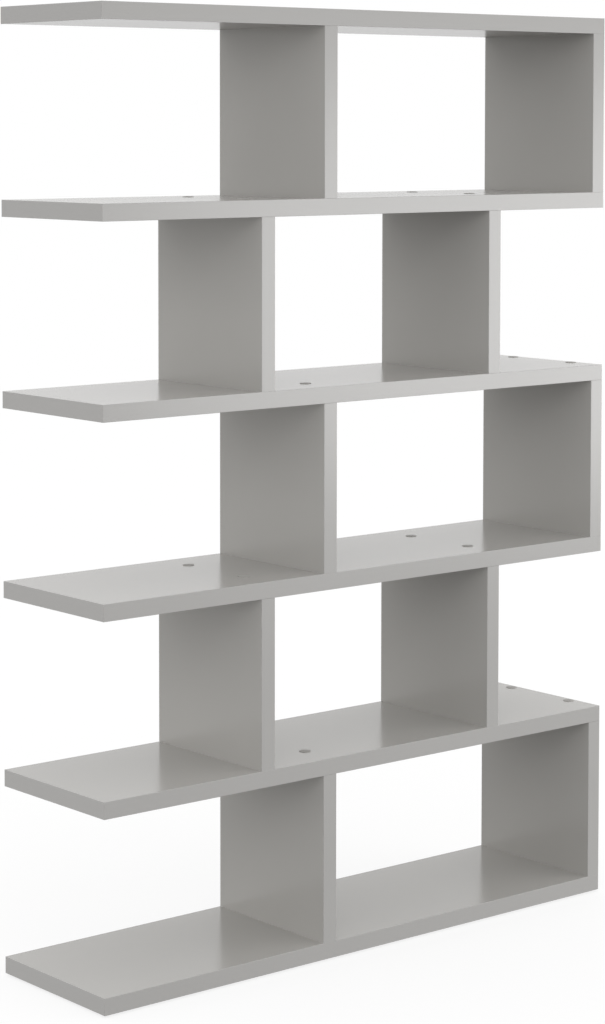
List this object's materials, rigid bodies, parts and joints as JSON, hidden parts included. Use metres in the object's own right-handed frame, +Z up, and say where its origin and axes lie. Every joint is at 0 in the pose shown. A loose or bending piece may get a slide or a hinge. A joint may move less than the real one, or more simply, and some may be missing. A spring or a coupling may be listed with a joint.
{
  "type": "zigzag bookcase",
  "caption": "Free-standing open bookcase: equal plain shelves on short uprights that step left and right from tier to tier, bolted at every crossing under round cover caps.",
  "frame": {"origin": "on the floor, at the centre of the footprint", "axes": "+Z up, +X along the shelves towards the end with uprights flush with it, +Y to the rear; the front faces -Y"},
  "size_m": [1.2, 0.3, 1.7156],
  "materials": {
    "grey_board": "satin grey lacquered board",
    "board_edging": "satin grey edging strip",
    "cap_plastic": "fine matte moulded plastic",
    "bolt_steel": "bright zinc plated",
    "insert_zinc": "cast zinc alloy",
    "dowel_beech": "raw beech",
    "glide_plastic": "smooth pale plastic",
    "nail_steel": "bright drawn steel"
  },
  "bodies": {
    "root": {"bottom_shelf_bolts": "bolt_steel", "bottom_shelf_edging": "board_edging", "bottom_shelf_panel": "grey_board", "floor_glide_nails": "nail_steel", "floor_glides": "glide_plastic", "shelf_2_bolts": "bolt_steel", "shelf_2_cover_caps": "cap_plastic", "shelf_2_edging": "board_edging", "shelf_2_panel": "grey_board", "shelf_3_bolts": "bolt_steel", "shelf_3_cover_caps": "cap_plastic", "shelf_3_edging": "board_edging", "shelf_3_panel": "grey_board", "shelf_4_bolts": "bolt_steel", "shelf_4_cover_caps": "cap_plastic", "shelf_4_edging": "board_edging", "shelf_4_panel": "grey_board", "shelf_5_bolts": "bolt_steel", "shelf_5_cover_caps": "cap_plastic", "shelf_5_edging": "board_edging", "shelf_5_panel": "grey_board", "tier_1_dowels": "dowel_beech", "tier_1_end_upright_edging": "board_edging", "tier_1_end_upright_panel": "grey_board", "tier_1_insert_nuts": "insert_zinc", "tier_1_middle_upright_edging": "board_edging", "tier_1_middle_upright_panel": "grey_board", "tier_2_dowels": "dowel_beech", "tier_2_insert_nuts": "insert_zinc", "tier_2_left_upright_edging": "board_edging", "tier_2_left_upright_panel": "grey_board", "tier_2_right_upright_edging": "board_edging", "tier_2_right_upright_panel": "grey_board", "tier_3_dowels": "dowel_beech", "tier_3_end_upright_edging": "board_edging", "tier_3_end_upright_panel": "grey_board", "tier_3_insert_nuts": "insert_zinc", "tier_3_middle_upright_edging": "board_edging", "tier_3_middle_upright_panel": "grey_board", "tier_4_dowels": "dowel_beech", "tier_4_insert_nuts": "insert_zinc", "tier_4_left_upright_edging": "board_edging", "tier_4_left_upright_panel": "grey_board", "tier_4_right_upright_edging": "board_edging", "tier_4_right_upright_panel": "grey_board", "tier_5_dowels": "dowel_beech", "tier_5_end_upright_edging": "board_edging", "tier_5_end_upright_panel": "grey_board", "tier_5_insert_nuts": "insert_zinc", "tier_5_middle_upright_edging": "board_edging", "tier_5_middle_upright_panel": "grey_board", "top_shelf_bolts": "bolt_steel", "top_shelf_cover_caps": "cap_plastic", "top_shelf_edging": "board_edging", "top_shelf_panel": "grey_board"}
  },
  "joints": []
}
